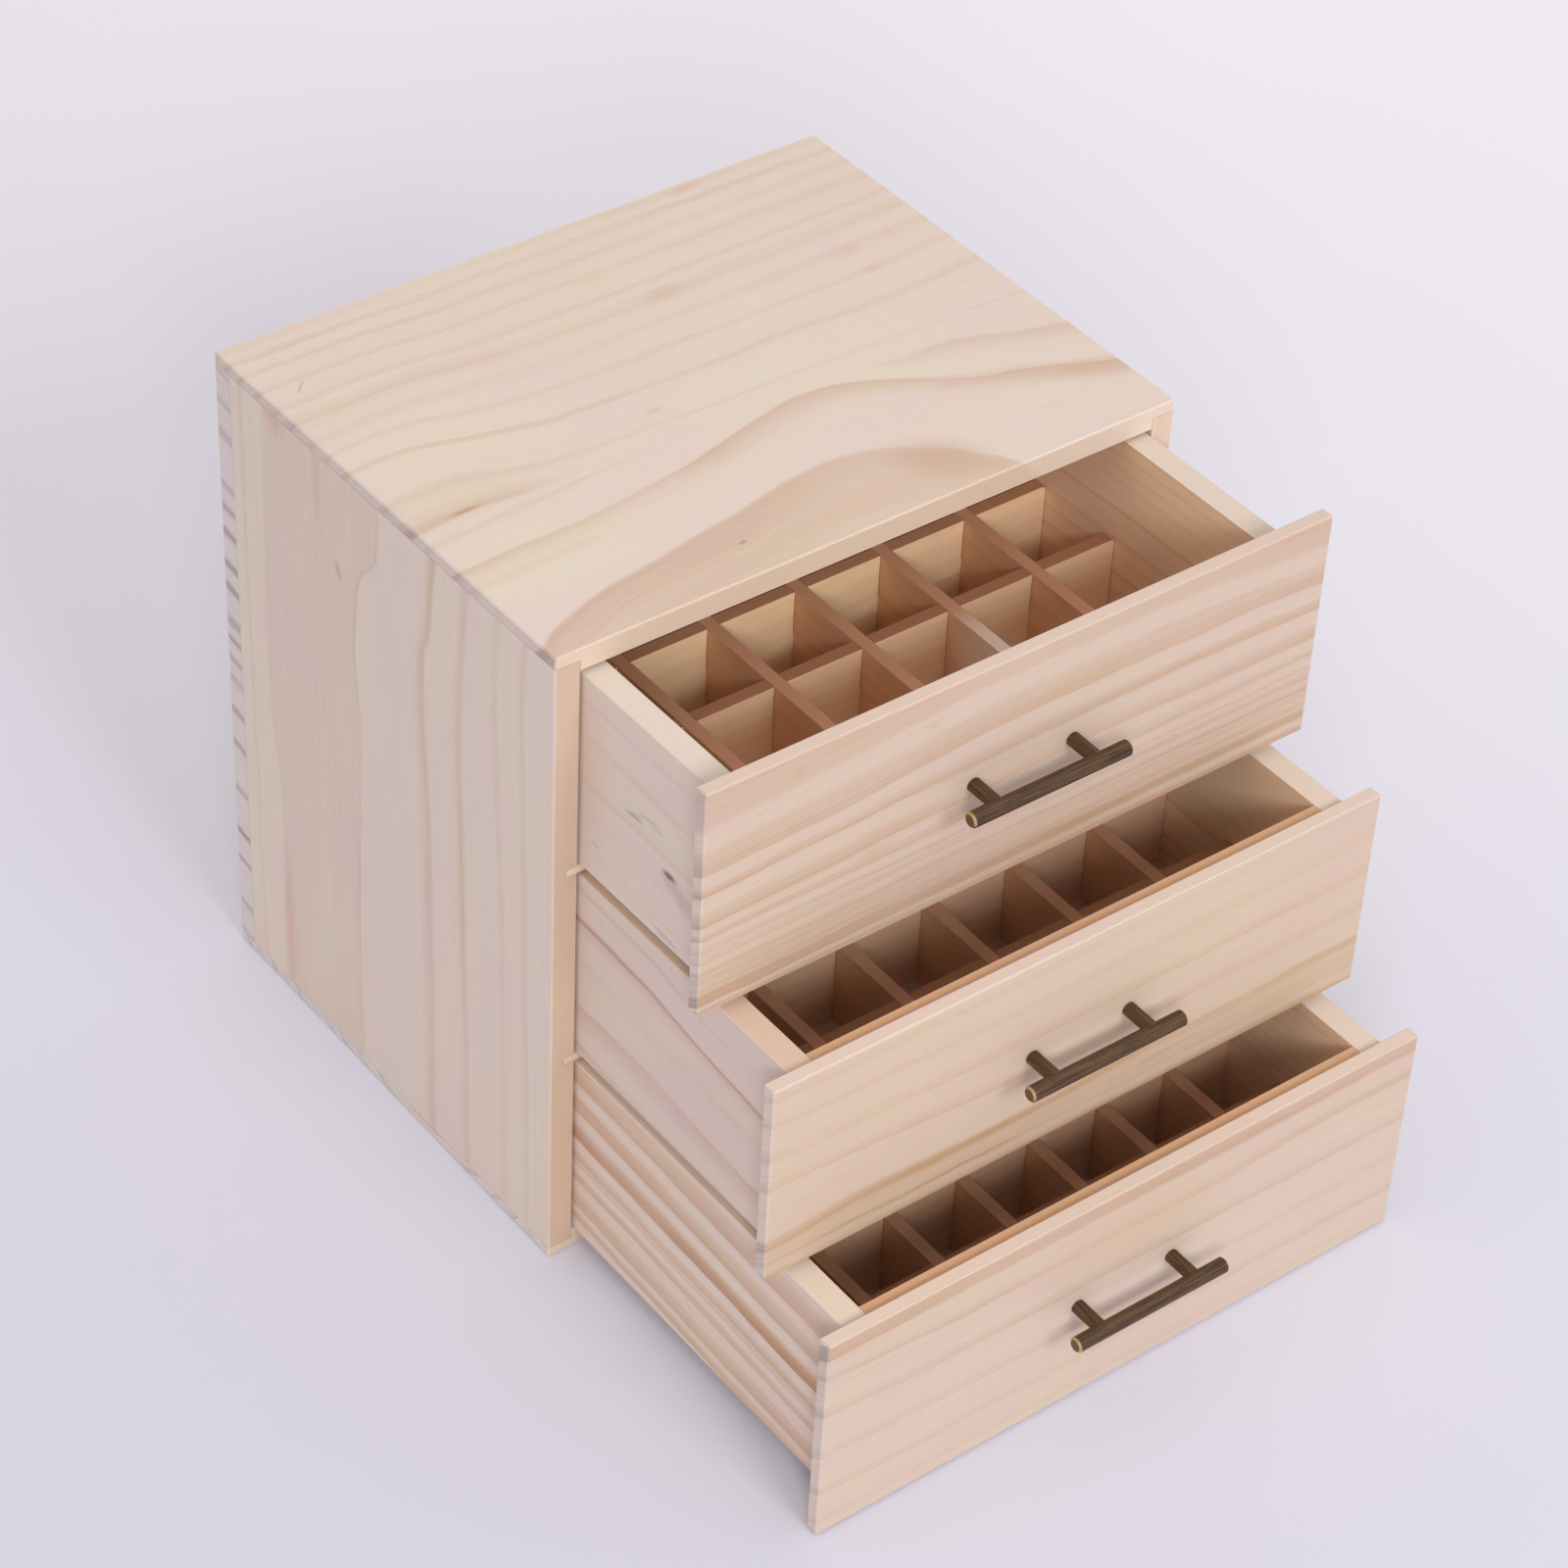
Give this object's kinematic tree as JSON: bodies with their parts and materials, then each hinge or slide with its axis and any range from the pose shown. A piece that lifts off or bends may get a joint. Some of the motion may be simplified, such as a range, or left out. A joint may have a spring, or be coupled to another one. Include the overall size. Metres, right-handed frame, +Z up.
{
  "type": "essential oil storage box",
  "caption": "Pine storage box for small essential oil bottles: a rebated case with sliding drawers, half-lapped egg-crate bottle dividers and T-bar pulls.",
  "frame": {"origin": "centre of the underside of the case, on the surface that the box stands on", "axes": "+Z up, the drawers open towards -Y, +X to the right of someone who faces the drawers"},
  "size_m": [0.31, 0.4536, 0.323],
  "materials": {
    "case_pine": "bare sanded pine, matt",
    "front_pine": "bare sanded pine, matt",
    "drawer_pine": "bare sanded pine, matt",
    "plywood": "bare thin plywood, matt",
    "slat_pine": "bare sawn pine, matt",
    "antique_bronze": "dark antique bronze, satin, rubbed bright on its edges"
  },
  "bodies": {
    "case": {"case_back": "case_pine", "case_bottom": "case_pine", "case_side_left": "case_pine", "case_side_right": "case_pine", "case_top": "case_pine", "shelf_lower": "plywood", "shelf_upper": "plywood"},
    "drawer_top": {"drawer_top_front": "front_pine", "drawer_top_inner_front": "drawer_pine", "drawer_top_panel": "plywood", "drawer_top_pull": "antique_bronze", "drawer_top_rear_wall": "drawer_pine", "drawer_top_slat_crosswise_1": "slat_pine", "drawer_top_slat_crosswise_2": "slat_pine", "drawer_top_slat_crosswise_3": "slat_pine", "drawer_top_slat_crosswise_4": "slat_pine", "drawer_top_slat_lengthwise_1": "slat_pine", "drawer_top_slat_lengthwise_2": "slat_pine", "drawer_top_slat_lengthwise_3": "slat_pine", "drawer_top_slat_lengthwise_4": "slat_pine", "drawer_top_slat_lengthwise_5": "slat_pine", "drawer_top_wall_left": "drawer_pine", "drawer_top_wall_right": "drawer_pine"},
    "drawer_middle": {"drawer_middle_front": "front_pine", "drawer_middle_inner_front": "drawer_pine", "drawer_middle_panel": "plywood", "drawer_middle_pull": "antique_bronze", "drawer_middle_rear_wall": "drawer_pine", "drawer_middle_slat_crosswise_1": "slat_pine", "drawer_middle_slat_crosswise_2": "slat_pine", "drawer_middle_slat_crosswise_3": "slat_pine", "drawer_middle_slat_crosswise_4": "slat_pine", "drawer_middle_slat_lengthwise_1": "slat_pine", "drawer_middle_slat_lengthwise_2": "slat_pine", "drawer_middle_slat_lengthwise_3": "slat_pine", "drawer_middle_slat_lengthwise_4": "slat_pine", "drawer_middle_slat_lengthwise_5": "slat_pine", "drawer_middle_wall_left": "drawer_pine", "drawer_middle_wall_right": "drawer_pine"},
    "drawer_bottom": {"drawer_bottom_front": "front_pine", "drawer_bottom_inner_front": "drawer_pine", "drawer_bottom_panel": "plywood", "drawer_bottom_pull": "antique_bronze", "drawer_bottom_rear_wall": "drawer_pine", "drawer_bottom_slat_crosswise_1": "slat_pine", "drawer_bottom_slat_crosswise_2": "slat_pine", "drawer_bottom_slat_crosswise_3": "slat_pine", "drawer_bottom_slat_crosswise_4": "slat_pine", "drawer_bottom_slat_crosswise_5": "slat_pine", "drawer_bottom_slat_lengthwise_1": "slat_pine", "drawer_bottom_slat_lengthwise_2": "slat_pine", "drawer_bottom_slat_lengthwise_3": "slat_pine", "drawer_bottom_slat_lengthwise_4": "slat_pine", "drawer_bottom_slat_lengthwise_5": "slat_pine", "drawer_bottom_slat_lengthwise_6": "slat_pine", "drawer_bottom_wall_left": "drawer_pine", "drawer_bottom_wall_right": "drawer_pine"}
  },
  "joints": [
    {"name": "drawer_top_slide", "type": "slide", "parent": "case", "child": "drawer_top", "axis": [0, -1, 0], "range_m": [-0.0897, 0.115]},
    {"name": "drawer_middle_slide", "type": "slide", "parent": "case", "child": "drawer_middle", "axis": [0, -1, 0], "range_m": [-0.1387, 0.066]},
    {"name": "drawer_bottom_slide", "type": "slide", "parent": "case", "child": "drawer_bottom", "axis": [0, -1, 0], "range_m": [-0.1807, 0.024]}
  ]
}
